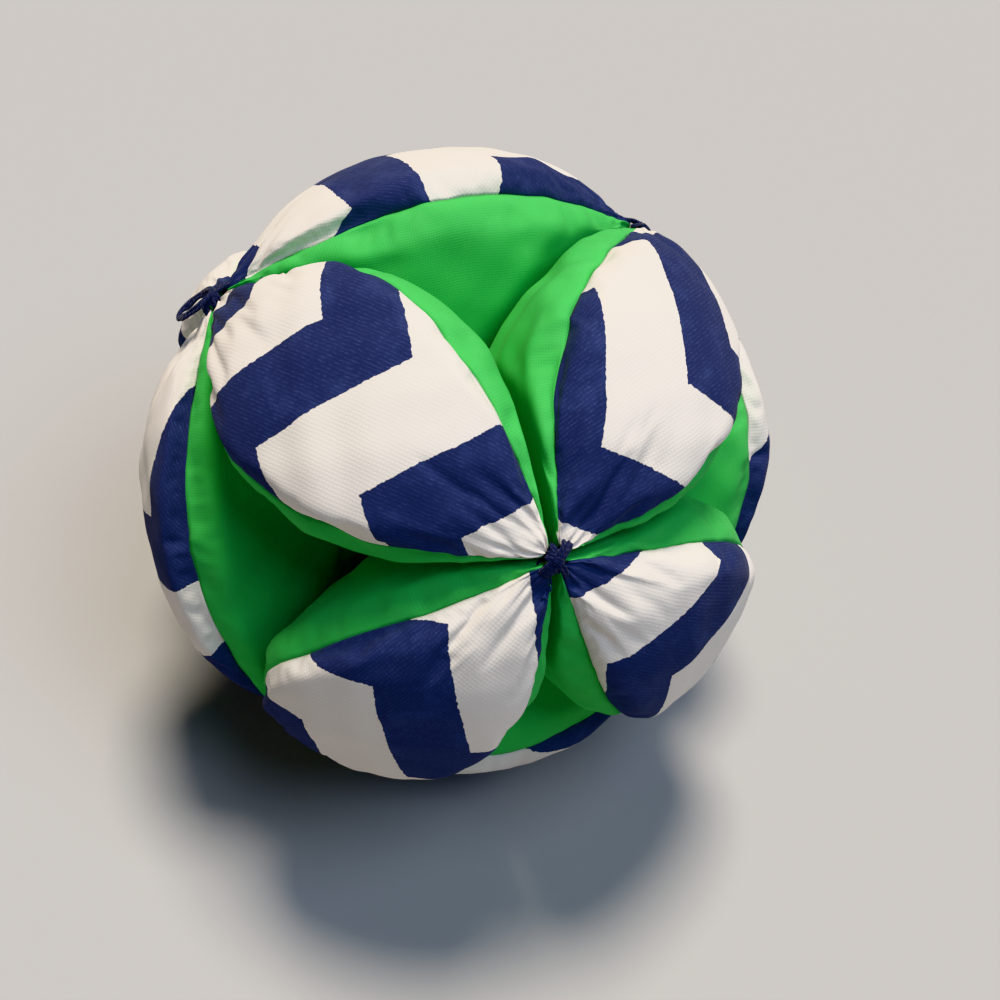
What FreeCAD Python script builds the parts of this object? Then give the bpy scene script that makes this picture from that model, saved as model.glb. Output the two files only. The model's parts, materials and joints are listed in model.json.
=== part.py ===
"""A soft clutch ball sewn from twelve stuffed pods, in three interlocked rings of four.

Each pod lies along one edge of an octahedron, and its two pointed tips reach two corners of that
octahedron.  At every corner one knotted thread ties four tips together.  Between the pods are eight
three-sided hollows that fingers go into.

A pod is a lens-shaped printed panel outside, two plain side panels that meet in an inner seam, and a
filling.  It rocks a few degrees about the straight line from tip to tip, on the two threads.

Millimetres.  The origin is the centre of the ball, and +Z points out of the middle of the upper hollow,
so that the ball stands on the three pods round the lower hollow.
"""
import FreeCAD, Part
import math
import os
from FreeCAD import Vector, Rotation, Placement

# ---- driving dimensions -------------------------------------------------------------------------
ball_radius = 50.0          # centre of the ball to the crown of a printed panel
tip_radius = 47.0           # centre of the ball to a corner, where four tips meet
seam_half_width = 15.5      # half of the printed panel's width, at the middle of its length
hollow_floor_radius = 28.0  # centre of the ball to the floor of a hollow, where three pods press together
inner_seam_radius = 8.0     # centre of the ball to the inner seam of a pod
cloth_thickness = 0.5       # printed and plain cotton
rock_angle = 4.0            # a pod rocks this many degrees each way
body_gap = 0.3              # left between two neighbouring pods at the ends of their rocking
knot_radius = 2.2           # ball of knotted thread at a corner
knot_clearance = 0.4        # between the knot and the ends of the four pods
thread_radius = 0.6         # bundle of threads that runs from the knot into a tip
thread_length = 7.0         # from the middle of the knot to the end of a thread
thread_clearance = 0.1      # round the thread, in the tip that rocks on it

# ---- values worked out from them ------------------------------------------------------------------
chord_height = tip_radius / math.sqrt(2.0)      # centre of the ball to the tip-to-tip line
cut_size = 4.0 * max(ball_radius, tip_radius)   # larger than anything it is cut with

# The printed panel lies on a sphere through both tips and the crown.
crown_centre = (ball_radius ** 2 - tip_radius ** 2) / (2.0 * (ball_radius - chord_height))
crown_sphere_radius = ball_radius - crown_centre
seam_height = crown_centre + math.sqrt(crown_sphere_radius ** 2 - seam_half_width ** 2)


def side_sphere():
    """Centre (height, offset) and radius of the sphere that a side panel lies on.

    It passes through both tips, the middle of the outer seam and the floor of the hollow.  Each point
    (height u, offset v) on it gives one linear equation in the centre (a, -b):
    2 a (chord - u) + 2 b v = 2 chord^2 - u^2 - v^2.
    """
    floor_height = hollow_floor_radius * math.sqrt(2.0 / 3.0)
    floor_offset = hollow_floor_radius / math.sqrt(3.0)
    rows = []
    for u, v in ((seam_height, seam_half_width), (floor_height, floor_offset)):
        rows.append((2.0 * (chord_height - u), 2.0 * v, 2.0 * chord_height ** 2 - u * u - v * v))
    (p, q, r), (s, t, w) = rows
    determinant = p * t - q * s
    a = (r * t - q * w) / determinant
    b = (p * w - r * s) / determinant
    return a, b, math.hypot(seam_height - a, seam_half_width + b)


side_height, side_offset, side_sphere_radius = side_sphere()


# ---- simple cutting shapes -------------------------------------------------------------------------
def ball(centre, radius, pole, seam):
    """A solid sphere with its poles and its seam line turned away from the faces that are kept."""
    sphere = Part.makeSphere(radius)
    sphere.Placement = Placement(centre, Rotation(seam, Vector(), pole, "ZXY"))
    return sphere


def half_space(normal, distance):
    """A big block that fills the space behind a plane, which lies `distance` out along `normal`."""
    corner = Vector(-cut_size, -cut_size, -2.0 * cut_size)
    block = Part.makeBox(2.0 * cut_size, 2.0 * cut_size, 2.0 * cut_size, corner)
    block.Placement = Placement(normal * distance, Rotation(Vector(0, 0, 1), normal))
    return block


# ---- one pod in its own axes: X from tip to tip, Y across, Z outwards --------------------------------
def crown_ball(inset):
    """The sphere that the printed panel lies on."""
    centre = Vector(0, 0, crown_centre)
    return ball(centre, crown_sphere_radius - inset, Vector(0, 1, 0), Vector(0, 0, -1))


def side_ball(side, inset):
    """The sphere that the side panel on one side lies on."""
    centre = Vector(0, -side * side_offset, side_height)
    return ball(centre, side_sphere_radius - inset, Vector(1, 0, 0), Vector(0, -side, 0))


def pressed_planes(tip, end, side, inset):
    """The two planes that bound a pod where it presses on one neighbour.

    Both pass beside the tip.  They are the plane halfway to the neighbour, turned by the rocking angle
    each way about the tip-to-tip line, so a pod that rocks stays on its own side of the halfway plane.
    """
    halfway = Vector(0.5 * end, side * math.sqrt(0.5), -0.5)
    planes = []
    for turn in (rock_angle, -rock_angle):
        normal = Rotation(Vector(1, 0, 0), turn).multVec(halfway)
        planes.append(half_space(normal, tip.dot(normal) - 0.5 * body_gap - inset))
    return planes


def pod_body(inset):
    """The whole pod, or with an inset the same shape that much smaller all round."""
    body = crown_ball(inset)
    body = body.common(half_space(Vector(0, 0, -1), -(inner_seam_radius + inset)))
    for side in (1, -1):
        body = body.common(side_ball(side, inset))
    for end in (1, -1):
        tip = Vector(end * chord_height, 0, chord_height)
        for side in (1, -1):
            for plane in pressed_planes(tip, end, side, inset):
                body = body.common(plane)
        knot_space = ball(tip, knot_radius + knot_clearance + inset, Vector(0, 1, 0), Vector(end, 0, 0))
        body = body.cut(knot_space)
    return body


def thread_bores():
    """The two holes that the tie threads lie in, along the tip-to-tip line."""
    bores = []
    radius = thread_radius + thread_clearance
    for end in (1, -1):
        tip = Vector(end * chord_height, 0, chord_height)
        bores.append(Part.makeCylinder(radius, thread_length + body_gap, tip, Vector(-end, 0, 0)))
    return bores


def pod_pieces():
    """The printed panel, the two side panels and the filling of one pod."""
    outside = pod_body(0.0)
    stuffing = pod_body(cloth_thickness)
    under_crown = crown_ball(cloth_thickness)
    side_cloth = outside.common(under_crown).cut(stuffing)
    pieces = {
        "printed_panel": outside.cut(under_crown),
        "side_panel_1": side_cloth.common(half_space(Vector(0, -1, 0), 0.0)),
        "side_panel_2": side_cloth.common(half_space(Vector(0, 1, 0), 0.0)),
        "filling": stuffing,
    }
    for name in ("side_panel_1", "side_panel_2", "filling"):
        for bore in thread_bores():
            pieces[name] = pieces[name].cut(bore)
    return pieces


# ---- the tie at one corner, in its own axes: Z out of the ball, the neighbouring corners along X and Y ---
def thread_tie():
    """One knot with four threads, each lying along the tip-to-tip line of a pod."""
    corner = Vector(0, 0, tip_radius)
    tie = ball(corner, knot_radius, Vector(0, 0, 1), Vector(1, 1, 0))
    for along in (Vector(1, 0, -1), Vector(0, 1, -1), Vector(-1, 0, -1), Vector(0, -1, -1)):
        tie = tie.fuse(Part.makeCylinder(thread_radius, thread_length, corner, along))
    return tie.removeSplitter()


# ---- the whole ball ------------------------------------------------------------------------------------
def octahedron_axes():
    """Three square axes that lean equally from +Z; the first leans towards -Y, the front."""
    level = math.sqrt(2.0 / 3.0)
    axes = []
    for turn in (-90.0, 30.0, 150.0):
        angle = math.radians(turn)
        axes.append(Vector(level * math.cos(angle), level * math.sin(angle), 1.0 / math.sqrt(3.0)))
    return axes


def save(shape, node):
    if not shape.isValid() or len(shape.Solids) != 1:
        raise RuntimeError("%s is not one valid solid" % node)
    shape.Solids[0].exportStep(os.path.join("parts", node + ".step"))
    print("%-28s %9.1f mm3" % (node, shape.Volume))


def build():
    os.makedirs("parts", exist_ok=True)
    front, right, left = octahedron_axes()
    corners = {
        "upper_front": front,
        "upper_right": right,
        "upper_left": left,
        "lower_back": -front,
        "lower_left": -right,
        "lower_right": -left,
    }
    tie = thread_tie()
    for name, corner in corners.items():
        neighbour = next(other for other in corners.values() if abs(other.dot(corner)) < 0.5)
        placed = tie.copy()
        placed.Placement = Placement(Vector(), Rotation(neighbour, Vector(), corner, "ZXY"))
        save(placed, "thread_tie_" + name)

    pieces = pod_pieces()
    rings = {"a": (front, right), "b": (right, left), "c": (left, front)}
    for ring, (first, second) in rings.items():
        tips = (first, second, -first, -second)
        for number in range(4):
            start = tips[number]
            finish = tips[(number + 1) % 4]
            along = start - finish
            outwards = start + finish
            turn = Rotation(along, outwards.cross(along), outwards, "ZXY")
            for piece, shape in pieces.items():
                placed = shape.copy()
                placed.Placement = Placement(Vector(), turn)
                save(placed, "pod_%s%d_%s" % (ring, number + 1, piece))


build()
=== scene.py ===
"""Sewn clutch ball: the cloth, filling and thread that dress its frame.

Twelve stuffed pods lie on the edges of an octahedron and are tied in fours at its six corners.  Each pod
is cut and sewn here as a maker would: a printed lens outside, two plain side panels that meet in an inner
seam, and fibre inside.  Every pod is stuffed by cloth simulation and then pressed against its neighbours.

A pod is worked out in its own axes, in millimetres: s along the line from tip to tip, v across it, and u
outwards from the centre of the ball.  It is turned into the frame, in metres, when its mesh is made.
"""
import json
import math
import bpy
import numpy as np
from mathutils import Matrix, Vector


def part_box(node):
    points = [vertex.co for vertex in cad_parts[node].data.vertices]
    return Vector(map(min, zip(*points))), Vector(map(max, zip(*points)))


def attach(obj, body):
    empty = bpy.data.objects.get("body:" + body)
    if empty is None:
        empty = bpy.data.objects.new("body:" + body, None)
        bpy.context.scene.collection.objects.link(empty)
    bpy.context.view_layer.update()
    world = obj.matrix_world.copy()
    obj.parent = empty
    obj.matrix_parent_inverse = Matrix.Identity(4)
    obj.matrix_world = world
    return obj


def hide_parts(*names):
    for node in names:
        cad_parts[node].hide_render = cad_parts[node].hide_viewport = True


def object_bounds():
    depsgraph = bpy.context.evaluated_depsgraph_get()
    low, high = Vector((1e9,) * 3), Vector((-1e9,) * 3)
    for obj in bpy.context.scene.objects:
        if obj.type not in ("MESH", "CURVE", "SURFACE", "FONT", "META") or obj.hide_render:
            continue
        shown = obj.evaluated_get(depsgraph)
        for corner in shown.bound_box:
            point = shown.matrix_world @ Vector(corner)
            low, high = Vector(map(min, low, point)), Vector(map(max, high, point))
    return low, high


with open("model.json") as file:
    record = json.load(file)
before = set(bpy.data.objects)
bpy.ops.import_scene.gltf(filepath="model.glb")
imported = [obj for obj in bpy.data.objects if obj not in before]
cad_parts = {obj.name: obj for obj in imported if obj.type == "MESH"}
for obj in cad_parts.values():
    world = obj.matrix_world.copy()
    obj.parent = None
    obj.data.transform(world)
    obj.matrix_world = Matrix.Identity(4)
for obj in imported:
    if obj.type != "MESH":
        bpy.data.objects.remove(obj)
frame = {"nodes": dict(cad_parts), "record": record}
cad_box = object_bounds()

MM = 0.001

# ---- sizes of the sewing, in millimetres and degrees -----------------------------------------------------
SEAM_RADIUS = 48.1       # centre of the ball to the outer seam, at the middle of a pod
TIP_RADIUS = 47.0        # centre of the ball to a corner
CROWN_RISE = 0.5         # how far the printed panel stands proud of the line between its two seams
SEAM_ANGLE = 19.6        # half the printed panel's width at its middle, as an angle about the centre
NECK_GAP = 1.7           # from a corner to the end of the cloth
NECK_RADIUS = 1.0        # of the gathered cloth where the thread binds it
LENS_POWER = 2.3         # how round the outline and the crown of a printed panel are; 2 is a parabola
INNER_SEAM = 9.0         # centre of the ball to the inner seam
INNER_TUCK = 0.15        # how much deeper the stitches pull it
SIDE_BULGE = 0.15        # how far a side panel swells, as a share of its depth
DEEP_POWER = 1.35        # above 1, a side panel swells most deep in the ball
CLOTH = 0.45             # thickness of both cottons
ROCK = 4.0               # each pod rocks this far each way, so its pressed faces leave this much room
BODY_GAP = 0.16          # from a pressed face to the plane halfway to the neighbour
PRESS_SOFT = 0.25        # how softly a pressed face meets that plane

# ---- how finely the cloth is divided ---------------------------------------------------------------------
ALONG = 84               # from tip to tip
ACROSS_PRINT = 34        # from outer seam to outer seam
ACROSS_SIDE = 22         # from outer seam to inner seam
TIP_SHARE = 0.28         # how much closer the divisions lie near the tips, where the cloth is gathered

# ---- the stuffing ----------------------------------------------------------------------------------------
SIM_SCALE = 0.02         # millimetres to the simulation's units
SIM_FRAMES = 18
MOVE_CAP = 2.2           # no point of a pod moves further than this while it is stuffed
SEAM_GRIP = 0.10         # how firmly a seam is held meanwhile, as a share of how firmly the tips are
SEAM_COLUMNS = 1.3       # how far that grip reaches from a seam, in divisions of the cloth
TIP_HELD_FROM = 0.93     # the tips are held from here, as a share of the way from the middle
TIP_HELD_OVER = 0.05     # and fully, this much further on
STUFFING = {
    "quality": 5,
    "mass": 0.3,
    "air_damping": 3.0,
    "tension_stiffness": 40.0,
    "compression_stiffness": 40.0,
    "shear_stiffness": 12.0,
    "bending_stiffness": 0.35,
    "vertex_group_mass": "pins",
    "pin_stiffness": 0.6,
    "vertex_group_shrink": "drawn",
    "shrink_min": -0.045,        # the cloth gives a little
    "shrink_max": 0.05,          # and the seams are drawn tight
    "use_pressure": True,
    "uniform_pressure_force": 3.0,
}

# ---- the cloth's surface ---------------------------------------------------------------------------------
SEAM_DEPTH = 0.42        # how far a seam is drawn in
SEAM_WAVE = 3.4          # from pucker to pucker along a seam
SEAM_WAVINESS = 0.16     # height of the puckers
SEAM_REACH = 2.6         # how far they run from the seam
PRINT_LUMP = 0.15        # height of the lumps in a printed panel, and in a plain one
PLAIN_LUMP = 0.30
FIBRE_GAP = 1.6          # least distance from the cloth to the fibre, on the way to the middle of a ring
FIBRE_LUMP = 0.25
LUMP_WAVE = 17.0         # from lump to lump, less by the step for each finer size
LUMP_STEP = 3.5
FOLDS = 7                # from each tip
PLEAT_DEPTH = 0.18       # of the pleats round the neck
PLEAT_REACH = 5.5        # how far they run from a tip
CALM_REACH = 5.0         # over which the thread at a tip calms all the other puckers and folds

# ---- the ties --------------------------------------------------------------------------------------------
THREAD_RADIUS = 0.27
THREAD_SIDES = 8
SPAN_STEPS = 5           # points of the smooth path for each point that a thread is laid out with
BAR_REACH = 2.9          # half the length of the bar of turns
LOOP_HEADING = 150.0     # degrees from the bar to the loose loop
BAR_RING = {             # the ring of pods whose two tips a tie's bar holds
    "thread_tie_upper_front": "pod_a",
    "thread_tie_upper_right": "pod_b",
    "thread_tie_upper_left": "pod_b",
    "thread_tie_lower_back": "pod_c",
    "thread_tie_lower_left": "pod_a",
    "thread_tie_lower_right": "pod_c",
}
LOOPED_TIE = "thread_tie_upper_left"

# How each printed panel was cut from the cloth: the angle of the cut, then the place of the panel's middle
# along and across the zigzag, in millimetres.
PANEL_CUTS = {
    "pod_a1": (153.3, 1.8, 31.4),
    "pod_a2": (28.0, 4.0, 9.0),
    "pod_a3": (118.0, 22.0, 3.0),
    "pod_a4": (357.9, 16.6, 30.3),
    "pod_b1": (324.2, 17.5, 0.6),
    "pod_b2": (43.1, 23.0, 31.5),
    "pod_b3": (201.0, 12.0, 20.0),
    "pod_b4": (80.0, 22.0, 25.0),
    "pod_c1": (192.4, 16.4, 27.1),
    "pod_c2": (195.6, 16.9, 35.3),
    "pod_c3": (305.0, 16.0, 12.0),
    "pod_c4": (236.0, 20.0, 7.0),
}
DRAWN_TIPS = {"pod_c1": 0.24}    # tips gathered so hard that this share more print lies before them
STRIPE_PERIOD = 30.7     # one navy and one white stripe, along the zigzag's own direction
NAVY_SHARE = 0.47        # of that period
ZIG_WIDTH = 18.8         # across one arm of the zigzag
ZIG_SHIFT = 15.2         # how far an arm runs along while it crosses that width
EDGE_RAGGED = 0.8        # how far the weave makes a stripe's edge ragged, and how far the edge wanders
EDGE_WANDER = 1.1
EDGE_SOFT = 0.09         # half the width over which navy ends

# Hand sewing is uneven.  For each half of a pod: how wide its printed cloth is, as a share of SEAM_ANGLE,
# how far its widest place lies towards one tip, how slender its tips are, and how full its side panel is.
PANEL_SHAPES = {
    "pod_a1": ((1.08, 0.02, 1.00, 1.0), (1.00, 0.19, 1.00, 0.9)),
    "pod_a4": ((1.16, 0.02, 0.95, 1.0), (1.05, 0.14, 1.20, 0.1)),
    "pod_b1": ((1.00, 0.00, 1.10, 1.0), (0.95, -0.12, 1.10, 0.9)),
    "pod_b2": ((1.00, 0.00, 1.10, 1.0), (0.83, 0.02, 1.10, 0.1)),
    "pod_b4": ((1.00, 0.00, 1.10, 1.0), (0.76, 0.12, 1.60, 1.0)),
    "pod_c1": ((1.12, 0.07, 0.78, 0.1), (1.13, 0.12, 0.78, 1.0)),
    "pod_c2": ((0.97, -0.04, 1.10, 1.0), (1.20, -0.12, 0.90, 1.0)),
    "pod_c4": ((1.00, 0.00, 1.10, 1.0), (0.72, 0.00, 1.10, 1.0)),
}
# Pods that are less full than the rest, or that the ball lies on, are lower at their middle by this much.
FLATTENED = {"pod_b3": 2.6, "pod_a4": 0.9, "pod_c2": 1.2, "pod_b1": 0.5, "pod_b2": 1.5}


# ---- one pod's axes --------------------------------------------------------------------------------------
class Pod:
    """A pod's name, its own axes in the frame, and its uneven cut, drawn from its own seed."""

    def __init__(self, number, joint):
        self.name = joint["child"]
        middle = np.array(joint["pos_m"])
        self.chord_height = np.linalg.norm(middle) / MM
        along = np.array(joint["axis"])
        outward = middle / np.linalg.norm(middle)
        self.axes = np.stack([along, np.cross(outward, along), outward])
        self.random = np.random.default_rng(100 + number)
        uneven = self.random.uniform((0.97, -0.06, 0.95, 0.6), (1.07, 0.06, 1.15, 1.2), (2, 4))
        self.shape = PANEL_SHAPES.get(self.name, uneven)

    def to_frame(self, points):
        """Points in the pod's axes, in millimetres, as points in the frame, in metres."""
        return (points @ self.axes) * MM


pods = [Pod(i, joint) for i, joint in enumerate(frame["record"]["behaviour"]["joints"])]


# ---- the sewing pattern, as a tube of rings --------------------------------------------------------------
def stations():
    """Places from tip to tip, from -1 to 1: mostly even, and closer near the tips by a share of a sine."""
    even = np.linspace(-1.0, 1.0, ALONG + 1)
    return (1.0 - TIP_SHARE) * even + TIP_SHARE * np.sin(0.5 * math.pi * even)


def seam_angle(pod, t, side):
    """Angle from the panel's middle to its outer seam: SEAM_ANGLE (1 - |t|^LENS_POWER)^slender."""
    width, skew, slender, _ = pod.shape[0 if side > 0 else 1]
    shifted = t - skew * (1.0 - t * t)
    fullness = np.maximum(1.0 - np.abs(shifted) ** LENS_POWER, 0.0) ** slender
    neck = NECK_RADIUS / TIP_RADIUS
    return neck + (np.radians(SEAM_ANGLE) * width - neck) * fullness


def sphere_point(radius, around, across):
    """A point at a radius, an angle along the pod and an angle across it, in the pod's axes."""
    s = radius * np.cos(across) * np.sin(around)
    v = radius * np.sin(across)
    u = radius * np.cos(across) * np.cos(around)
    return np.stack(np.broadcast_arrays(s, v, u), axis=-1)


def seam_radius(pod, t):
    """The seams dip from SEAM_RADIUS at the middle to TIP_RADIUS at the tips, as a parabola."""
    rise = SEAM_RADIUS - FLATTENED.get(pod.name, 0.0) - TIP_RADIUS
    return TIP_RADIUS + rise * (1.0 - t * t)


def neck_angle():
    """Half of the angle that the cloth of a pod covers, which stops NECK_GAP short of each corner."""
    return math.pi / 4.0 - NECK_GAP / TIP_RADIUS


def printed_grid(pod, t):
    """The printed lens: the angle runs from seam to seam and the crown rises as 1 - |q|^LENS_POWER.

    It rises less where the panel is narrow, as that width to the power 0.8.
    """
    q = np.linspace(1.0, -1.0, ACROSS_PRINT + 1)
    tt, qq = np.meshgrid(t, q, indexing="ij")
    plus, minus = seam_angle(pod, tt, 1), seam_angle(pod, tt, -1)
    across = np.where(qq > 0.0, qq * plus, qq * minus)
    fullness = np.clip((plus + minus) / (2.0 * math.radians(SEAM_ANGLE)), 0.0, 1.0)
    rise = CROWN_RISE * fullness ** 0.8 * (1.0 - np.abs(qq) ** LENS_POWER)
    return sphere_point(seam_radius(pod, tt) + rise, tt * neck_angle(), across)


def side_grid(pod, t, side):
    """A side panel: straight lines from the outer to the inner seam, swollen as sin(pi p^DEEP_POWER).

    The power puts the most swelling deep in the ball, so that the hollows stay open outside.
    """
    p = np.linspace(0.0, 1.0, ACROSS_SIDE + 1)
    outer = sphere_point(seam_radius(pod, t), t * neck_angle(), side * seam_angle(pod, t, side))
    s = outer[:, 0]
    share = np.clip(s / pod.chord_height, -1.0, 1.0)
    inner_height = np.sqrt(s * s + INNER_SEAM ** 2 * (1.0 - share ** 2)) - INNER_TUCK
    inner = np.stack([s, np.zeros_like(s), inner_height], axis=-1)
    depth = np.linalg.norm(outer - inner, axis=-1)
    points = outer[:, None] + (inner - outer)[:, None] * p[None, :, None]
    full = pod.shape[0 if side > 0 else 1][3]
    swell = SIDE_BULGE * full * depth[:, None] * np.sin(math.pi * p[None, :] ** DEEP_POWER)
    points[..., 1] += side * swell
    return points


def pod_rings(pod):
    """All three panels as closed rings from tip to tip: printed panel, one side, then the other."""
    t = stations()
    printed = printed_grid(pod, t)
    minus = side_grid(pod, t, -1)
    plus = side_grid(pod, t, 1)
    return np.concatenate([printed, minus[:, 1:], plus[:, -2:0:-1]], axis=1)


def pressed_planes(pod):
    """The planes that a pod presses on: halfway to each neighbour, turned by ROCK each way."""
    planes = []
    for end in (1, -1):
        for side in (1, -1):
            for turn in (ROCK, -ROCK):
                x, y, z = 0.5 * end, side * math.sqrt(0.5), -0.5
                c, s = math.cos(math.radians(turn)), math.sin(math.radians(turn))
                normal = np.array([x, y * c - z * s, y * s + z * c])
                tip = pod.chord_height * np.array([end, 0.0, 1.0])
                planes.append((normal, tip @ normal - BODY_GAP))
    return planes


def press(pod, points):
    """Moves points that stand past a pressed plane back onto it, by soft log(1 + exp(over / soft))."""
    for _ in range(2):
        for normal, distance in pressed_planes(pod):
            over = points @ normal - distance
            back = PRESS_SOFT * np.logaddexp(0.0, over / PRESS_SOFT)
            points = points - np.where(over > -4.0 * PRESS_SOFT, back, 0.0)[..., None] * normal
    return points


# ---- stuffing by cloth simulation ------------------------------------------------------------------------
def tube_faces(rings, ring):
    """Quads between neighbouring rings of a closed tube."""
    i, j = np.meshgrid(np.arange(rings - 1), np.arange(ring), indexing="ij")
    here = i * ring + j
    beside = i * ring + (j + 1) % ring
    return np.stack([here, beside, beside + ring, here + ring], axis=-1).reshape(-1, 4)


def closed_tube_faces(rings, ring):
    """The quads of a tube and one face over each of its ends, all facing outwards."""
    last = (rings - 1) * ring
    ends = [list(range(ring))[::-1], list(range(last, last + ring))]
    return tube_faces(rings, ring).tolist() + ends


def weigh(obj, name, weights):
    """A vertex group from an array of weights, one call for each different weight."""
    group = obj.vertex_groups.new(name=name)
    flat = np.ravel(weights)
    for level in np.unique(flat):
        group.add(np.flatnonzero(flat == level).tolist(), float(level), "REPLACE")


def sim_object(pod, rings):
    """A pod ready for stuffing: its tube with two closed ends, its seams drawn tighter than its cloth."""
    count, ring = rings.shape[:2]
    points = rings.reshape(-1, 3) * SIM_SCALE
    mesh = bpy.data.meshes.new("stuffing_" + pod.name)
    mesh.from_pydata(points.tolist(), [], closed_tube_faces(count, ring))
    mesh.update()
    obj = bpy.data.objects.new(mesh.name, mesh)
    bpy.context.scene.collection.objects.link(obj)
    column = np.arange(ring)
    seams = np.array([0, ACROSS_PRINT, ACROSS_PRINT + ACROSS_SIDE])
    gap = np.abs(column[:, None] - seams[None, :])
    nearest = np.minimum(gap, ring - gap).min(axis=1)
    seam_share = np.exp(-(nearest / SEAM_COLUMNS) ** 2)
    tip_share = np.clip((np.abs(stations()) - TIP_HELD_FROM) / TIP_HELD_OVER, 0.0, 1.0)
    held = np.maximum(SEAM_GRIP * seam_share[None, :], tip_share[:, None])
    weigh(obj, "pins", held)
    weigh(obj, "drawn", np.broadcast_to(seam_share, held.shape))
    cloth = obj.modifiers.new("Stuffing", "CLOTH")
    for key, value in STUFFING.items():
        setattr(cloth.settings, key, value)
    cloth.settings.effector_weights.gravity = 0.0
    cloth.collision_settings.use_collision = False
    cloth.point_cache.frame_start = 1
    cloth.point_cache.frame_end = SIM_FRAMES
    return obj


def stuff(shapes):
    """Stuffs all the pods side by side.  Each is a tube of rings; returns the swollen tubes."""
    workers = [sim_object(pod, rings) for pod, rings in shapes]
    scene = bpy.context.scene
    for number in range(1, SIM_FRAMES + 1):
        scene.frame_set(number)
    graph = bpy.context.evaluated_depsgraph_get()
    swollen = []
    for (pod, rings), worker in zip(shapes, workers):
        found = worker.evaluated_get(graph)
        points = np.empty(len(found.data.vertices) * 3)
        found.data.vertices.foreach_get("co", points)
        points = points.reshape(rings.shape) / SIM_SCALE
        move = points - rings
        length = np.linalg.norm(move, axis=-1, keepdims=True)
        swollen.append(rings + move * np.minimum(1.0, MOVE_CAP / np.maximum(length, 1e-9)))
    for worker in workers:
        mesh = worker.data
        bpy.data.objects.remove(worker)
        bpy.data.meshes.remove(mesh)
    scene.frame_set(1)
    return swollen


# ---- small changes to the cloth's surface ----------------------------------------------------------------
def ring_normals(rings):
    """Outward normals of a tube of rings, from the cross product of its two directions."""
    forward = np.gradient(rings, axis=0)
    around = np.roll(rings, -1, axis=1) - np.roll(rings, 1, axis=1)
    normal = np.cross(around, forward)
    normal /= np.maximum(np.linalg.norm(normal, axis=-1, keepdims=True), 1e-9)
    centre = rings.mean(axis=1, keepdims=True)
    sign = np.sign(((rings - centre) * normal).sum(axis=-1).mean())
    return normal * sign


def ripple(random, length, wave):
    """A wavy line along a seam: sines of nearly the same wavelength, whose sum never repeats evenly."""
    total = np.zeros_like(length)
    for k in (0.78, 1.0, 1.31):
        total += np.sin(2.0 * math.pi * k * length / wave + random.uniform(0.0, 6.28))
    return total / 3.0


def seam_pucker(random, rings, seam):
    """Along one seam: a narrow groove exp(-(gap / 0.7)^2), and waves that fade over SEAM_REACH beside it."""
    ring = rings.shape[1]
    step = np.linalg.norm(np.roll(rings, -1, axis=1) - rings, axis=-1)
    run = np.linalg.norm(np.diff(rings[:, seam], axis=0), axis=-1)
    length = np.concatenate([[0.0], np.cumsum(run)])
    gap = np.abs(np.arange(ring) - seam)
    gap = np.minimum(gap, ring - gap)[None, :] * step.mean(axis=1, keepdims=True)
    groove = -SEAM_DEPTH * np.exp(-(gap / 0.7) ** 2)
    waves = ripple(random, length, SEAM_WAVE)[:, None] * np.exp(-(gap / SEAM_REACH) ** 1.4)
    return groove + SEAM_WAVINESS * waves * (gap > 0.05)


def lumps(random, rings):
    """Lumps of the filling: products of sines of the place, at three sizes, higher on the plain panels."""
    height = np.where(np.arange(rings.shape[1]) > ACROSS_PRINT, PLAIN_LUMP, PRINT_LUMP)
    total = np.zeros(rings.shape[:2])
    for k, (a, b, c, _) in enumerate(random.uniform(0.0, 2.0 * math.pi, (3, 4))):
        x, y, z = np.moveaxis(rings, -1, 0) * 2.0 * math.pi / (LUMP_WAVE - LUMP_STEP * k)
        total += height * np.sin(x + a) * np.sin(y + b) * np.sin(z + c)
    return total


def fold(random, end, around, t):
    """A valley that starts at one tip, leans, widens from 0.010 of the ring, and fades away from the tip."""
    start, lean = random.uniform(0.0, 1.0), random.uniform(-0.12, 0.12)
    reach, depth = random.uniform(0.3, 0.75), random.uniform(0.10, 0.36)
    way = 1.0 - end * t
    offset = (around - start - lean * way + 0.5) % 1.0 - 0.5
    width = 0.010 + 0.016 * way
    return -depth * np.exp(-(offset / width) ** 2) * np.exp(-(way / reach) ** 2)


def pucker(pod, rings):
    """Draws each seam in, puckers the cloth beside it, and adds lumps, folds from the tips and pleats.

    The pleats are two cosines round the neck, 11 large ones and 17 smaller ones.
    """
    ring = rings.shape[1]
    t = stations()[:, None]
    from_tip = (1.0 - np.abs(t)) * math.pi / 4.0 * TIP_RADIUS
    calm = 1.0 - 0.85 * np.exp(-(from_tip / CALM_REACH) ** 2)
    around = np.arange(ring)[None, :] / ring
    total = sum(calm * seam_pucker(pod.random, rings, seam) for seam in (0, ACROSS_PRINT))
    total += lumps(pod.random, rings)
    for end in (1.0, -1.0):
        for _ in range(FOLDS):
            total += calm * fold(pod.random, end, around, t)
    turn = 2.0 * math.pi * around
    pleats = np.cos(11.0 * turn + pod.random.uniform(0.0, 6.28)) + 0.6 * np.cos(17.0 * turn + 1.3)
    total += PLEAT_DEPTH * pleats * np.exp(-(from_tip / PLEAT_REACH) ** 1.3)
    return rings + ring_normals(rings) * total[..., None]


# ---- meshes ----------------------------------------------------------------------------------------------
def link(obj, material):
    """Puts a piece in the scene with its material, shaded smooth."""
    bpy.context.scene.collection.objects.link(obj)
    obj.data.materials.append(material)
    obj.data.shade_smooth()
    return obj


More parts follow.
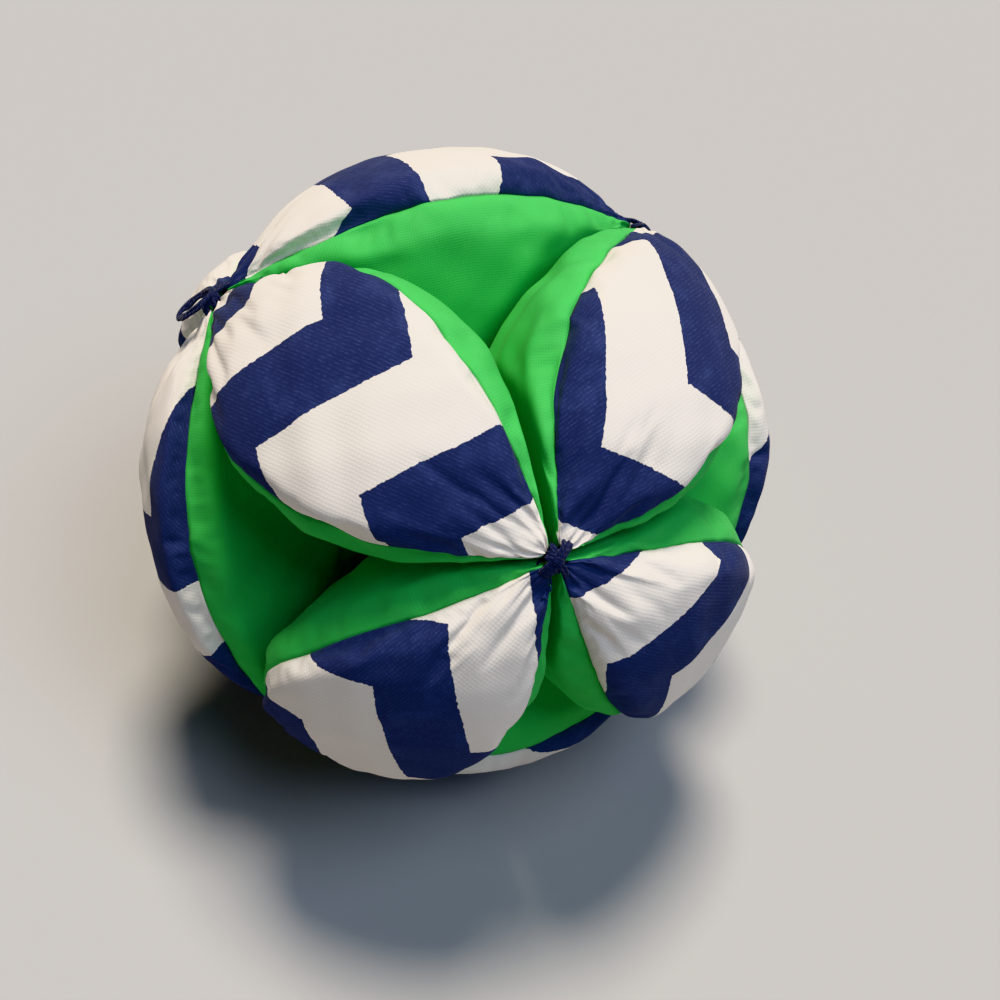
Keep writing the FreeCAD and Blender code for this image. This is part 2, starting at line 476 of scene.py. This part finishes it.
def grid_mesh(name, points, uv, inside):
    """A sheet from a grid of points in metres, with its cloth UV map, that faces away from a point inside."""
    rows, columns = points.shape[:2]
    i, j = np.meshgrid(np.arange(rows - 1), np.arange(columns - 1), indexing="ij")
    corner = i * columns + j
    faces = np.stack([corner, corner + 1, corner + columns + 1, corner + columns], axis=-1).reshape(-1, 4)
    flat = points.reshape(-1, 3)
    a, b, c = flat[faces[:, 0]], flat[faces[:, 1]], flat[faces[:, 3]]
    if (np.cross(b - a, c - a) * (a - inside)).sum() < 0.0:
        faces = faces[:, ::-1]
    mesh = bpy.data.meshes.new(name)
    mesh.from_pydata(flat.tolist(), [], faces.tolist())
    layer = mesh.uv_layers.new(name="cloth")
    layer.data.foreach_set("uv", uv.reshape(-1, 2)[faces.reshape(-1)].reshape(-1))
    mesh.update()
    return bpy.data.objects.new(name, mesh)


def give_thickness(obj, thickness, rows, columns):
    """Smooths the sheet once and makes it as thick as cloth, inwards, thinned where it turns in at a seam."""
    i, j = np.meshgrid(np.arange(rows), np.arange(columns), indexing="ij")
    from_edge = np.minimum(np.minimum(j, columns - 1 - j), 0.6 * np.minimum(i, rows - 1 - i))
    weigh(obj, "wall", np.minimum(0.1 + 0.3 * from_edge, 1.0))
    smooth = obj.modifiers.new("Smooth", "SUBSURF")
    smooth.levels = 1
    smooth.render_levels = 1
    wall = obj.modifiers.new("Cloth thickness", "SOLIDIFY")
    wall.thickness = thickness * MM
    wall.offset = -1.0
    wall.vertex_group = "wall"


def printed_uv(pod):
    """The panel's place on the printed cloth: lengths along and across it, turned and moved by its cut.

    Towards a drawn tip the length along it is larger by DRAWN_TIPS t^3.
    """
    t = stations()
    q = np.linspace(1.0, -1.0, ACROSS_PRINT + 1)
    tt, qq = np.meshgrid(t, q, indexing="ij")
    x = tt * neck_angle() * SEAM_RADIUS
    x *= 1.0 + DRAWN_TIPS.get(pod.name, 0.0) * np.maximum(tt, 0.0) ** 3
    y = np.where(qq > 0.0, qq * seam_angle(pod, tt, 1), qq * seam_angle(pod, tt, -1)) * SEAM_RADIUS
    angle, along, across = PANEL_CUTS[pod.name]
    c, s = math.cos(math.radians(angle)), math.sin(math.radians(angle))
    return np.stack([x * c + y * s - along, -x * s + y * c - across], axis=-1) * 0.01


def side_uv(pod, points):
    """A side panel's place on the plain cloth: lengths along the chord and down the panel."""
    down = np.linalg.norm(np.diff(points, axis=1), axis=-1)
    down = np.concatenate([np.zeros((len(points), 1)), np.cumsum(down, axis=1)], axis=1)
    return np.stack([points[..., 0], down], axis=-1) * 0.01


# ---- node groups and materials ---------------------------------------------------------------------------
class Nodes:
    """A short way to write node trees: each call adds a node and joins its inputs."""

    def __init__(self, tree):
        self.tree = tree

    def add(self, kind, inputs=None, **settings):
        """A new node with its settings, and a value or another node's socket for each named input."""
        node = self.tree.nodes.new(kind)
        for key, value in settings.items():
            setattr(node, key, value)
        for key, value in (inputs or {}).items():
            self.join(value, node.inputs[key])
        return node

    def join(self, value, socket):
        """Links a socket to this one, or sets this one to a number or a colour."""
        if isinstance(value, bpy.types.NodeSocket):
            self.tree.links.new(value, socket)
        else:
            socket.default_value = value

    def math(self, operation, a, b=0.0, c=0.0):
        """Arithmetic on up to three values."""
        node = self.add("ShaderNodeMath", operation=operation)
        for socket, value in zip(node.inputs, (a, b, c)):
            self.join(value, socket)
        return node.outputs[0]

    def mix(self, share, a, b):
        """Colour a where share is 0, colour b where it is 1."""
        node = self.add("ShaderNodeMix", data_type="RGBA")
        self.join(share, node.inputs[0])
        self.join(a, node.inputs[6])
        self.join(b, node.inputs[7])
        return node.outputs[2]

    def noise(self, vector, scale, detail=3.0, rough=0.5):
        """Cloudy noise about 0.5."""
        node = self.add("ShaderNodeTexNoise", {"Vector": vector, "Scale": scale})
        node.inputs["Detail"].default_value = detail
        node.inputs["Roughness"].default_value = rough
        return node.outputs["Fac"]

    def ramp(self, value, low, high):
        """0 below low, 1 above high, smooth between."""
        node = self.add("ShaderNodeMapRange", {"Value": value}, interpolation_type="SMOOTHSTEP")
        node.inputs["From Min"].default_value = low
        node.inputs["From Max"].default_value = high
        return node.outputs["Result"]


def new_group(name, inputs, outputs):
    """A node group with named sockets; returns the tree, its helper and the two end nodes."""
    tree = bpy.data.node_groups.new(name, "ShaderNodeTree")
    for label, kind in inputs:
        tree.interface.new_socket(name=label, in_out="INPUT", socket_type=kind)
    for label, kind in outputs:
        tree.interface.new_socket(name=label, in_out="OUTPUT", socket_type=kind)
    nodes = Nodes(tree)
    return tree, nodes, nodes.add("NodeGroupInput"), nodes.add("NodeGroupOutput")


# Places on a cloth are in hundreds of millimetres, along the weft and along the warp.
THREAD_WANDER = 0.004            # how far a thread of the cloth strays from straight
FUZZ_LIE = (110.0, 480.0, 1.0)   # loose fibres to 100 mm: they are longest along the weft


def weave_group():
    """Plain weave: warp and weft threads pass over each other by turns, each one rounded.

    Thread is 1 on the crown of a thread and 0 between threads, Rib is 1 along the middle of each weft
    thread, and Fuzz is the loose fibre on them.
    """
    tree, n, start, end = new_group(
        "plain weave",
        [("Place", "NodeSocketVector"), ("Threads", "NodeSocketFloat")],
        [("Thread", "NodeSocketFloat"), ("Rib", "NodeSocketFloat"), ("Fuzz", "NodeSocketFloat")],
    )
    wander = n.add("ShaderNodeTexNoise", {"Vector": start.outputs["Place"], "Scale": 30.0})
    drift = n.add("ShaderNodeVectorMath", operation="MULTIPLY_ADD")
    n.join(wander.outputs["Color"], drift.inputs[0])
    drift.inputs[1].default_value = (THREAD_WANDER,) * 3
    n.join(start.outputs["Place"], drift.inputs[2])
    split = n.add("ShaderNodeSeparateXYZ", {"Vector": drift.outputs[0]})
    warp = n.math("MULTIPLY", split.outputs[0], start.outputs["Threads"])
    weft = n.math("MULTIPLY", split.outputs[1], start.outputs["Threads"])
    warp_round = n.math("ABSOLUTE", n.math("SINE", n.math("MULTIPLY", warp, math.pi)))
    weft_round = n.math("ABSOLUTE", n.math("SINE", n.math("MULTIPLY", weft, math.pi)))
    odd = n.math("PINGPONG", n.math("ADD", n.math("FLOOR", warp), n.math("FLOOR", weft)), 1.0)
    over = n.math("MULTIPLY", warp_round, n.math("POWER", weft_round, 0.4))
    under = n.math("MULTIPLY", weft_round, n.math("POWER", warp_round, 0.4))
    kept = n.math("MULTIPLY", over, odd)
    other = n.math("MULTIPLY", under, n.math("SUBTRACT", 1.0, odd))
    n.join(n.math("ADD", kept, other), end.inputs["Thread"])
    n.join(weft_round, end.inputs["Rib"])
    lying = n.add("ShaderNodeVectorMath", operation="MULTIPLY")
    n.join(start.outputs["Place"], lying.inputs[0])
    lying.inputs[1].default_value = FUZZ_LIE
    n.join(n.noise(lying.outputs[0], 1.0, 4.0, 0.65), end.inputs["Fuzz"])
    return tree


def handling_group():
    """Soil and rubbing: broad soft patches of soil, and finer paler patches where cloth is rubbed."""
    tree, n, start, end = new_group(
        "handling",
        [("Place", "NodeSocketVector"), ("Size", "NodeSocketFloat")],
        [("Soil", "NodeSocketFloat"), ("Rub", "NodeSocketFloat")],
    )
    broad = n.noise(start.outputs["Place"], start.outputs["Size"], 4.0, 0.55)
    finer = n.noise(start.outputs["Place"], n.math("MULTIPLY", start.outputs["Size"], 4.3), 6.0, 0.62)
    n.join(n.ramp(broad, 0.42, 0.78), end.inputs["Soil"])
    n.join(n.ramp(finer, 0.45, 0.75), end.inputs["Rub"])
    return tree


def zigzag_group():
    """The print: stripes along x that shift back and forth with y, with an edge the weave makes ragged.

    Navy is 1 inside a navy stripe and 0 outside; its edge wanders by a few tenths of a millimetre.
    """
    tree, n, start, end = new_group(
        "zigzag print",
        [("Place", "NodeSocketVector")],
        [("Navy", "NodeSocketFloat")],
    )
    place = start.outputs["Place"]
    split = n.add("ShaderNodeSeparateXYZ", {"Vector": place})
    x = n.math("MULTIPLY", split.outputs[0], 100.0)
    y = n.math("MULTIPLY", split.outputs[1], 100.0)
    shift = n.math("MULTIPLY", n.math("PINGPONG", y, ZIG_WIDTH), ZIG_SHIFT / ZIG_WIDTH)
    along = n.math("SUBTRACT", x, shift)
    from_navy = n.math("PINGPONG", along, STRIPE_PERIOD / 2.0)
    ragged = n.math("MULTIPLY", n.math("SUBTRACT", n.noise(place, 110.0, 2.0, 0.6), 0.5), EDGE_RAGGED)
    wander = n.math("MULTIPLY", n.math("SUBTRACT", n.noise(place, 14.0, 2.0), 0.5), EDGE_WANDER)
    edge = n.math("ADD", n.math("ADD", from_navy, ragged), wander)
    half = STRIPE_PERIOD * NAVY_SHARE / 2.0
    n.join(n.math("SUBTRACT", 1.0, n.ramp(edge, half - EDGE_SOFT, half + EDGE_SOFT)), end.inputs["Navy"])
    return tree


WEAVE = weave_group()
HANDLING = handling_group()
ZIGZAG = zigzag_group()

PRINT_THREADS = 187.0    # in 100 mm of the printed cotton, and of the finer plain cotton
PLAIN_THREADS = 260.0
THREAD_PLIES = 3.0       # of the sewing thread
THREAD_TWIST = 130.0     # how many of its plies pass in 100 mm along it

OFF_WHITE = (0.80, 0.755, 0.70, 1.0)
SOILED_WHITE = (0.69, 0.64, 0.58, 1.0)
# painted shade for the gaps between the threads of the white cloth
PAINTED_WHITE_GAP_SHADE = (0.45, 0.40, 0.35, 1.0)
NAVY = (0.029, 0.038, 0.108, 1.0)
RUBBED_NAVY = (0.042, 0.056, 0.152, 1.0)
WORN_NAVY = (0.13, 0.16, 0.38, 1.0)
GREEN = (0.082, 0.50, 0.118, 1.0)
SOILED_GREEN = (0.066, 0.42, 0.098, 1.0)
RUBBED_GREEN = (0.125, 0.57, 0.165, 1.0)
# painted shade for the gaps between the threads of the green cloth
PAINTED_GREEN_GAP_SHADE = (0.022, 0.30, 0.052, 1.0)
# painted shade for the fibre between its clumps
PAINTED_FIBRE_SHADE = (0.62, 0.62, 0.60, 1.0)
FIBRE_WHITE = (0.86, 0.86, 0.84, 1.0)
# painted shade for the grooves between the plies of the thread
PAINTED_THREAD_GAP_SHADE = (0.006, 0.009, 0.040, 1.0)
THREAD_NAVY = (0.016, 0.024, 0.095, 1.0)


def material(name):
    """An empty material with a Principled BSDF joined to its output."""
    made = bpy.data.materials.new(name)
    made.use_nodes = True
    made.node_tree.nodes.clear()
    n = Nodes(made.node_tree)
    surface = n.add("ShaderNodeBsdfPrincipled")
    n.add("ShaderNodeOutputMaterial", {"Surface": surface.outputs[0]})
    return made, n, surface


def group(n, tree, **inputs):
    """A node group placed in a material with its inputs; returns its outputs."""
    node = n.add("ShaderNodeGroup", node_tree=tree)
    for key, value in inputs.items():
        n.join(value, node.inputs[key])
    return node.outputs


def relief(n, surface, height, distance):
    """Shades a height that changes over the surface; distance is its size in metres."""
    bump = n.add("ShaderNodeBump", {"Height": height})
    bump.inputs["Strength"].default_value = 1.0
    bump.inputs["Distance"].default_value = distance
    n.join(bump.outputs[0], surface.inputs["Normal"])


def with_painted_gap_shade(n, weave, share, cloth, shade_in_gaps):
    """The colour of the cloth, darkened towards a painted shade in its gaps where no thread lies on top."""
    return n.mix(n.math("MULTIPLY", n.math("SUBTRACT", 1.0, weave["Thread"]), share), cloth, shade_in_gaps)


def cotton_finish(n, surface, weave, dull, sheen, gloss, distance):
    """What both cottons share: dull but for the loose fibre, a little sheen, and the relief of the weave."""
    n.join(n.math("SUBTRACT", dull, n.math("MULTIPLY", weave["Fuzz"], 0.12)), surface.inputs["Roughness"])
    surface.inputs["Sheen Weight"].default_value = sheen
    surface.inputs["Sheen Roughness"].default_value = 0.5
    surface.inputs["Specular IOR Level"].default_value = gloss
    height = n.math("ADD", weave["Thread"], n.math("MULTIPLY", weave["Fuzz"], 0.7))
    relief(n, surface, height, distance)


def printed_cotton():
    """Off-white cotton with navy zigzag stripes printed on its face; the weave shows through the print, and
    the white is darkened with painted shade in the gaps between its threads.
    """
    made, n, surface = material("zigzag_printed_cotton")
    place = n.add("ShaderNodeUVMap", uv_map="cloth").outputs[0]
    weave = group(n, WEAVE, Place=place, Threads=PRINT_THREADS)
    handling = group(n, HANDLING, Place=place, Size=5.0)
    navy = group(n, ZIGZAG, Place=place)["Navy"]
    white = n.mix(n.math("MULTIPLY", handling["Soil"], 0.6), OFF_WHITE, SOILED_WHITE)
    # painted shade: the white is darkened where no thread lies on top
    white = with_painted_gap_shade(n, weave, 0.11, white, PAINTED_WHITE_GAP_SHADE)
    ink = n.mix(handling["Rub"], NAVY, RUBBED_NAVY)
    worn = n.math("MULTIPLY", n.ramp(weave["Rib"], 0.55, 1.0), n.ramp(weave["Fuzz"], 0.42, 0.70))
    ink = n.mix(n.math("MULTIPLY", worn, 0.30), ink, WORN_NAVY)
    n.join(n.mix(navy, white, ink), surface.inputs["Base Color"])
    cotton_finish(n, surface, weave, dull=0.92, sheen=0.06, gloss=0.2, distance=0.00002)
    return made


def plain_cotton():
    """Bright green dyed cotton, finer than the printed cloth, a little paler where it is rubbed, and darkened
    with painted shade in the gaps between its threads.
    """
    made, n, surface = material("green_plain_cotton")
    place = n.add("ShaderNodeUVMap", uv_map="cloth").outputs[0]
    weave = group(n, WEAVE, Place=place, Threads=PLAIN_THREADS)
    handling = group(n, HANDLING, Place=place, Size=4.0)
    green = n.mix(handling["Soil"], GREEN, SOILED_GREEN)
    green = n.mix(n.math("MULTIPLY", handling["Rub"], 0.35), green, RUBBED_GREEN)
    # painted shade: the green is darkened where no thread lies on top
    green = with_painted_gap_shade(n, weave, 0.25, green, PAINTED_GREEN_GAP_SHADE)
    n.join(green, surface.inputs["Base Color"])
    cotton_finish(n, surface, weave, dull=0.90, sheen=0.04, gloss=0.18, distance=0.000015)
    return made


def fibre_filling():
    """White polyester fibre: soft clumps crossed by fine tangled strands, darkened with painted shade where
    the clumps are low.
    """
    made, n, surface = material("polyester_fibre")
    place = n.add("ShaderNodeTexCoord").outputs["Object"]
    clumps = n.noise(place, 160.0, 5.0, 0.6)
    strands = n.noise(place, 900.0, 6.0, 0.7)
    # painted shade: darker where the clump relief is low
    colour = n.mix(n.ramp(clumps, 0.3, 0.7), PAINTED_FIBRE_SHADE, FIBRE_WHITE)
    n.join(colour, surface.inputs["Base Color"])
    n.join(n.math("ADD", 0.8, n.math("MULTIPLY", strands, 0.2)), surface.inputs["Roughness"])
    surface.inputs["Sheen Weight"].default_value = 0.4
    relief(n, surface, n.math("ADD", clumps, n.math("MULTIPLY", strands, 0.5)), 0.0008)
    return made


def navy_thread():
    """Navy sewing thread: plies wound round it, picked out by its own UV map along and around; the grooves
    between plies are darkened with painted shade, and the fuzz noise darkens it at random.
    """
    made, n, surface = material("navy_thread")
    place = n.add("ShaderNodeUVMap", uv_map="thread").outputs[0]
    split = n.add("ShaderNodeSeparateXYZ", {"Vector": place})
    twist = n.math("MULTIPLY", split.outputs[0], THREAD_TWIST)
    lay = n.math("ADD", twist, n.math("MULTIPLY", split.outputs[1], THREAD_PLIES))
    ply = n.math("ABSOLUTE", n.math("SINE", n.math("MULTIPLY", lay, math.pi)))
    fuzz = n.noise(n.add("ShaderNodeTexCoord").outputs["Object"], 4000.0, 3.0, 0.6)
    # painted shade between the plies, times a random darker tone from the fuzz noise
    colour = n.mix(n.math("MULTIPLY", ply, fuzz), PAINTED_THREAD_GAP_SHADE, THREAD_NAVY)
    n.join(colour, surface.inputs["Base Color"])
    n.join(n.math("SUBTRACT", 0.75, n.math("MULTIPLY", ply, 0.2)), surface.inputs["Roughness"])
    surface.inputs["Sheen Weight"].default_value = 0.2
    surface.inputs["Specular IOR Level"].default_value = 0.25
    relief(n, surface, n.math("ADD", ply, n.math("MULTIPLY", fuzz, 0.6)), 0.0001)
    return made


PRINTED = printed_cotton()
PLAIN = plain_cotton()
FIBRE = fibre_filling()
THREAD = navy_thread()


# ---- the pods --------------------------------------------------------------------------------------------
def filling_mesh(pod, rings):
    """The fibre inside: the pod's own tube drawn in towards the middle of each ring, lumpy and closed."""
    inner = rings[::3, ::2]
    middle = inner.mean(axis=1, keepdims=True)
    reach = np.linalg.norm(inner - middle, axis=-1)
    lumpy = np.sin(inner[..., 0] * 1.3) * np.sin(inner[..., 1] * 1.7 + 1.0) * np.sin(inner[..., 2] * 1.5)
    drawn_in = np.maximum(FIBRE_GAP, 0.16 * reach) + FIBRE_LUMP * lumpy
    inner = inner - (inner - middle) * np.minimum(drawn_in / reach, 0.7)[..., None]
    inner = inner[2:-2]
    count, ring = inner.shape[:2]
    points = pod.to_frame(inner.reshape(-1, 3))
    mesh = bpy.data.meshes.new(pod.name + "_fibre")
    mesh.from_pydata(points.tolist(), [], closed_tube_faces(count, ring))
    mesh.update()
    return bpy.data.objects.new(mesh.name, mesh)


def sew(pod, rings):
    """Cuts a stuffed tube along its seams into the three panels, and puts the fibre inside."""
    first, last = ACROSS_PRINT, ACROSS_PRINT + ACROSS_SIDE
    closed = np.concatenate([rings, rings[:, :1]], axis=1)
    inside = pod.to_frame(rings.reshape(-1, 3).mean(axis=0))
    outer = pod.to_frame(closed[:, :first + 1])
    printed = link(grid_mesh(pod.name + "_print", outer, printed_uv(pod), inside), PRINTED)
    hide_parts(pod.name + "_printed_panel")
    pieces = [printed]
    sides = ((closed[:, first:last + 1], "_side_2"), (closed[:, last:][:, ::-1], "_side_1"))
    for points, label in sides:
        panel = grid_mesh(pod.name + label, pod.to_frame(points), side_uv(pod, points), inside)
        link(panel, PLAIN)
        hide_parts(pod.name + label.replace("_side", "_side_panel"))
        pieces.append(panel)
    for piece, columns in zip(pieces, (ACROSS_PRINT, ACROSS_SIDE, ACROSS_SIDE)):
        give_thickness(piece, CLOTH, ALONG + 1, columns + 1)
    fibre = link(filling_mesh(pod, rings), FIBRE)
    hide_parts(pod.name + "_filling")
    for piece in pieces + [fibre]:
        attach(piece, pod.name)


shapes = [(pod, press(pod, pod_rings(pod))) for pod in pods]
stuffed = stuff(shapes)
for pod, rings in zip(pods, stuffed):
    sew(pod, press(pod, pucker(pod, rings)))


# ---- the thread ties -------------------------------------------------------------------------------------
def smooth_path(points, steps):
    """A Catmull-Rom curve through the points: each span is a cubic that leaves along its neighbours' line."""
    ends = np.concatenate([2 * points[:1] - points[1:2], points, 2 * points[-1:] - points[-2:-1]])
    a, b, c, d = ends[:-3], ends[1:-2], ends[2:-1], ends[3:]
    x = np.linspace(0.0, 1.0, steps, endpoint=False)[None, :, None]
    a, b, c, d = a[:, None], b[:, None], c[:, None], d[:, None]
    curve = b + 0.5 * x * (c - a) + x ** 2 * (a - 2.5 * b + 2 * c - 0.5 * d)
    curve = curve + x ** 3 * 0.5 * (3 * (b - c) + d - a)
    return np.concatenate([curve.reshape(-1, 3), points[-1:]])


def thread_tube(path, radius, sides):
    """Rings of a tube along a path.  Its side direction is carried along, so the tube never twists."""
    tangent = np.gradient(path, axis=0)
    tangent /= np.linalg.norm(tangent, axis=1, keepdims=True)
    side = np.cross(tangent[0], (0.31, 0.52, 0.79))
    frames = []
    for direction in tangent:
        side = side - direction * (side @ direction)
        side /= np.linalg.norm(side)
        frames.append((side, np.cross(direction, side)))
    frames = np.array(frames)
    turn = np.linspace(0.0, 2.0 * math.pi, sides, endpoint=False)
    taper = np.full(len(path), radius)
    taper[[0, -1]] *= 0.5
    cos, sin = np.cos(turn)[None, :, None], np.sin(turn)[None, :, None]
    round_points = cos * frames[:, None, 0] + sin * frames[:, None, 1]
    return path[:, None] + round_points * taper[:, None, None]


def wound(turns, reach, height, drift, lift, random):
    """Thread wound round and round: x = reach cos a, z = height sin a, while y drifts from turn to turn."""
    a = np.linspace(-0.5 * math.pi, (2.0 * turns - 0.5) * math.pi, int(turns * 10) + 1)
    share = a / a[-1]
    wobble = random.uniform(-0.12, 0.12, (3, len(a)))
    x = reach * np.cos(a) * (1.0 + wobble[0])
    y = drift * (share - 0.5) * 2.0 + wobble[1]
    z = lift + height * np.sin(a) * (1.0 + wobble[2])
    return np.stack([x, y, z], axis=-1)


def turned(points, degrees):
    """Points turned about z."""
    c, s = math.cos(math.radians(degrees)), math.sin(math.radians(degrees))
    x, y, z = points.T
    return np.stack([x * c - y * s, x * s + y * c, z], axis=-1)


def tie_threads(random, loop):
    """The threads of one tie, with the corner at the middle, x across two opposite tips, z outwards.

    A bar of turns holds two opposite tips, a shorter binding and a skew one cross it, three tails end it,
    and one of the ties keeps a loose loop of five strands.
    """
    bar = wound(6, BAR_REACH, 1.5, 0.75, -0.5, random)
    binding = wound(4, 1.25, 1.15, 0.5, 0.15, random)[:, [1, 0, 2]]
    skew = turned(wound(3, 1.9, 1.3, 0.4, -0.25, random), 52.0)
    threads = [bar, binding, skew]
    for heading in random.uniform(0.0, 2.0 * math.pi, 3):
        reach = np.linspace(0.3, random.uniform(2.6, 4.2), 5)
        bend = heading + 0.25 * reach * random.uniform(-1.0, 1.0)
        rise = 1.1 - 0.10 * reach ** 2 + random.uniform(-0.1, 0.3)
        threads.append(np.stack([reach * np.cos(bend), reach * np.sin(bend), rise], axis=-1))
    if loop:
        for strand in range(5):
            a = np.linspace(-0.15 * math.pi, 2.15 * math.pi, 15)
            wobble = random.uniform(-0.2, 0.2, (3, len(a)))
            x = 3.1 - 3.5 * np.cos(a) + wobble[0]
            y = (1.5 + 0.25 * strand) * np.sin(a) + wobble[1]
            z = 1.4 + 1.0 * np.sin(0.5 * a) ** 2 + 0.25 * (strand % 2) + wobble[2]
            threads.append(turned(np.stack([x, y, z], axis=-1), LOOP_HEADING))
    return threads


def tie_mesh(name, threads, to_frame):
    """One mesh of closed tubes, with a UV map that runs along (x) and around (y) each thread."""
    all_points, all_faces, all_uv = [], [], []
    base = 0
    for thread in threads:
        tube = thread_tube(smooth_path(thread, SPAN_STEPS), THREAD_RADIUS, THREAD_SIDES)
        count, sides = tube.shape[:2]
        run = np.linalg.norm(np.diff(tube.mean(axis=1), axis=0), axis=1)
        length = np.concatenate([[0.0], np.cumsum(run)])
        all_points.append(tube.reshape(-1, 3))
        quads = tube_faces(count, sides)
        i, j = np.divmod(np.arange((count - 1) * sides), sides)
        rows = np.stack([i, i, i + 1, i + 1], axis=-1)
        columns = np.stack([j, j + 1, j + 1, j], axis=-1)
        uv = np.stack([length[rows] * 0.01, columns / sides], axis=-1)
        all_faces += (quads + base).tolist()
        all_uv.append(uv.reshape(-1, 2))
        for cap in (np.arange(sides)[::-1], np.arange((count - 1) * sides, count * sides)):
            all_faces.append((cap + base).tolist())
            all_uv.append(np.zeros((sides, 2)))
        base += count * sides
    mesh = bpy.data.meshes.new(name)
    mesh.from_pydata(to_frame(np.concatenate(all_points)).tolist(), [], all_faces)
    layer = mesh.uv_layers.new(name="thread")
    layer.data.foreach_set("uv", np.concatenate(all_uv).reshape(-1))
    mesh.update()
    return bpy.data.objects.new(name, mesh)


def make_ties():
    """A tie at every corner, its bar laid across two opposite tips."""
    corners = {}
    for pod in pods:
        middle = pod.axes[2] * pod.chord_height
        for end in (1, -1):
            corner = middle + end * pod.axes[0] * pod.chord_height
            key = tuple(np.round(corner).astype(int))
            corners.setdefault(key, (corner, []))[1].append((pod.name, -end * pod.axes[0]))
    random = np.random.default_rng(7)
    for node in sorted(name for name in frame["nodes"] if name.startswith("thread_tie_")):
        low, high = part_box(node)
        middle = (np.array(low) + np.array(high)) / (2.0 * MM)
        corner, tips = min(corners.values(), key=lambda found: np.linalg.norm(found[0] - middle))
        outward = corner / np.linalg.norm(corner)
        name, towards = next(tip for tip in tips if tip[0].startswith(BAR_RING[node]))
        across = towards - outward * (towards @ outward)
        across /= np.linalg.norm(across)
        axes = np.stack([across, np.cross(outward, across), outward])
        threads = tie_threads(random, node == LOOPED_TIE)
        tie = tie_mesh(node + "_thread", threads, lambda points: (corner + points @ axes) * MM)
        link(tie, THREAD)
        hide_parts(node)
        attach(tie, "ties")


make_ties()


# ---- stage -----------------------------------------------------------------------------------------------
FLOOR_SIZE = 20.0        # metres from the middle of the floor to its edge
FLOOR_COLOUR = (0.40, 0.395, 0.39, 1.0)
ROOM_STRENGTH = 0.08     # of the light from all round
WALL_STRENGTH = 0.60     # of the pale wall that stands behind the floor
ROOM_COLOUR = (0.86, 0.90, 1.0, 1.0)
CAMERA_FIELD = 30.075    # degrees across the view
CAMERA_HEADING = 23.72   # degrees that the camera stands to the left of the front
CAMERA_PITCH = 51.2      # degrees that it looks down
CAMERA_LEAN = 7.76       # degrees that it leans over
CAMERA_DISTANCE = 0.2934     # metres back from the centre of the ball
CAMERA_ASIDE = 0.00652       # metres to its own right
CAMERA_ABOVE = -0.00447      # metres up, along its own upright


def stage_floor():
    """A plain pale floor under the lowest point of the ball."""
    low = min(cad_box[0][2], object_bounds()[0][2])
    mesh = bpy.data.meshes.new("floor")
    corners = [(x * FLOOR_SIZE, y * FLOOR_SIZE, low) for x, y in ((-1, -1), (1, -1), (1, 1), (-1, 1))]
    mesh.from_pydata(corners, [], [(0, 1, 2, 3)])
    floor = bpy.data.objects.new("floor", mesh)
    bpy.context.scene.collection.objects.link(floor)
    made, n, surface = material("pale_floor")
    surface.inputs["Base Color"].default_value = FLOOR_COLOUR
    surface.inputs["Roughness"].default_value = 0.9
    mesh.materials.append(made)


def far_light(name, towards, spread, strength, colour):
    """A soft light from far away in one direction, spread over an angle in degrees."""
    lamp = bpy.data.lights.new(name, "SUN")
    lamp.angle = math.radians(spread)
    lamp.energy = strength
    lamp.color = colour
    obj = bpy.data.objects.new(name, lamp)
    bpy.context.scene.collection.objects.link(obj)
    obj.location = towards
    obj.rotation_euler = (-Vector(towards)).to_track_quat("-Z", "Y").to_euler()


def set_camera():
    """A hand-held camera, leaning a little, that looks down on the ball from the front."""
    camera = bpy.data.cameras.new("camera")
    camera.sensor_width = 36.0
    camera.lens = camera.sensor_width / (2.0 * math.tan(math.radians(CAMERA_FIELD) / 2.0))
    obj = bpy.data.objects.new("camera", camera)
    bpy.context.scene.collection.objects.link(obj)
    heading, pitch, lean = map(math.radians, (CAMERA_HEADING, CAMERA_PITCH, CAMERA_LEAN))
    ahead = math.cos(pitch)
    forward = Vector((math.sin(heading) * ahead, math.cos(heading) * ahead, -math.sin(pitch)))
    level = forward.cross(Vector((0, 0, 1))).normalized()
    rise = level.cross(forward)
    right = level * math.cos(lean) + rise * math.sin(lean)
    up = rise * math.cos(lean) - level * math.sin(lean)
    back = -forward
    place = back * CAMERA_DISTANCE + right * CAMERA_ASIDE + up * CAMERA_ABOVE
    turn = Matrix((right, up, back)).transposed().to_4x4()
    obj.matrix_world = Matrix.Translation(place) @ turn
    bpy.context.scene.camera = obj


def soft_world():
    """A dim room all round, and a pale wall where nothing else stands behind the ball."""
    world = bpy.data.worlds.new("studio")
    world.use_nodes = True
    n = Nodes(world.node_tree)
    seen = n.add("ShaderNodeLightPath").outputs["Is Camera Ray"]
    room = world.node_tree.nodes["Background"]
    room.inputs["Color"].default_value = ROOM_COLOUR
    strength = n.math("MULTIPLY_ADD", seen, WALL_STRENGTH - ROOM_STRENGTH, ROOM_STRENGTH)
    n.join(strength, room.inputs["Strength"])
    bpy.context.scene.world = world


stage_floor()
soft_world()
bpy.context.scene.view_settings.view_transform = "Khronos PBR Neutral"
far_light("window", (0.09, 0.28, 0.955), 17.0, 4.1, (1.0, 0.90, 0.78))
far_light("ceiling", (0.38, -0.46, 1.2), 34.0, 1.5, (0.66, 0.79, 1.0))
set_camera()
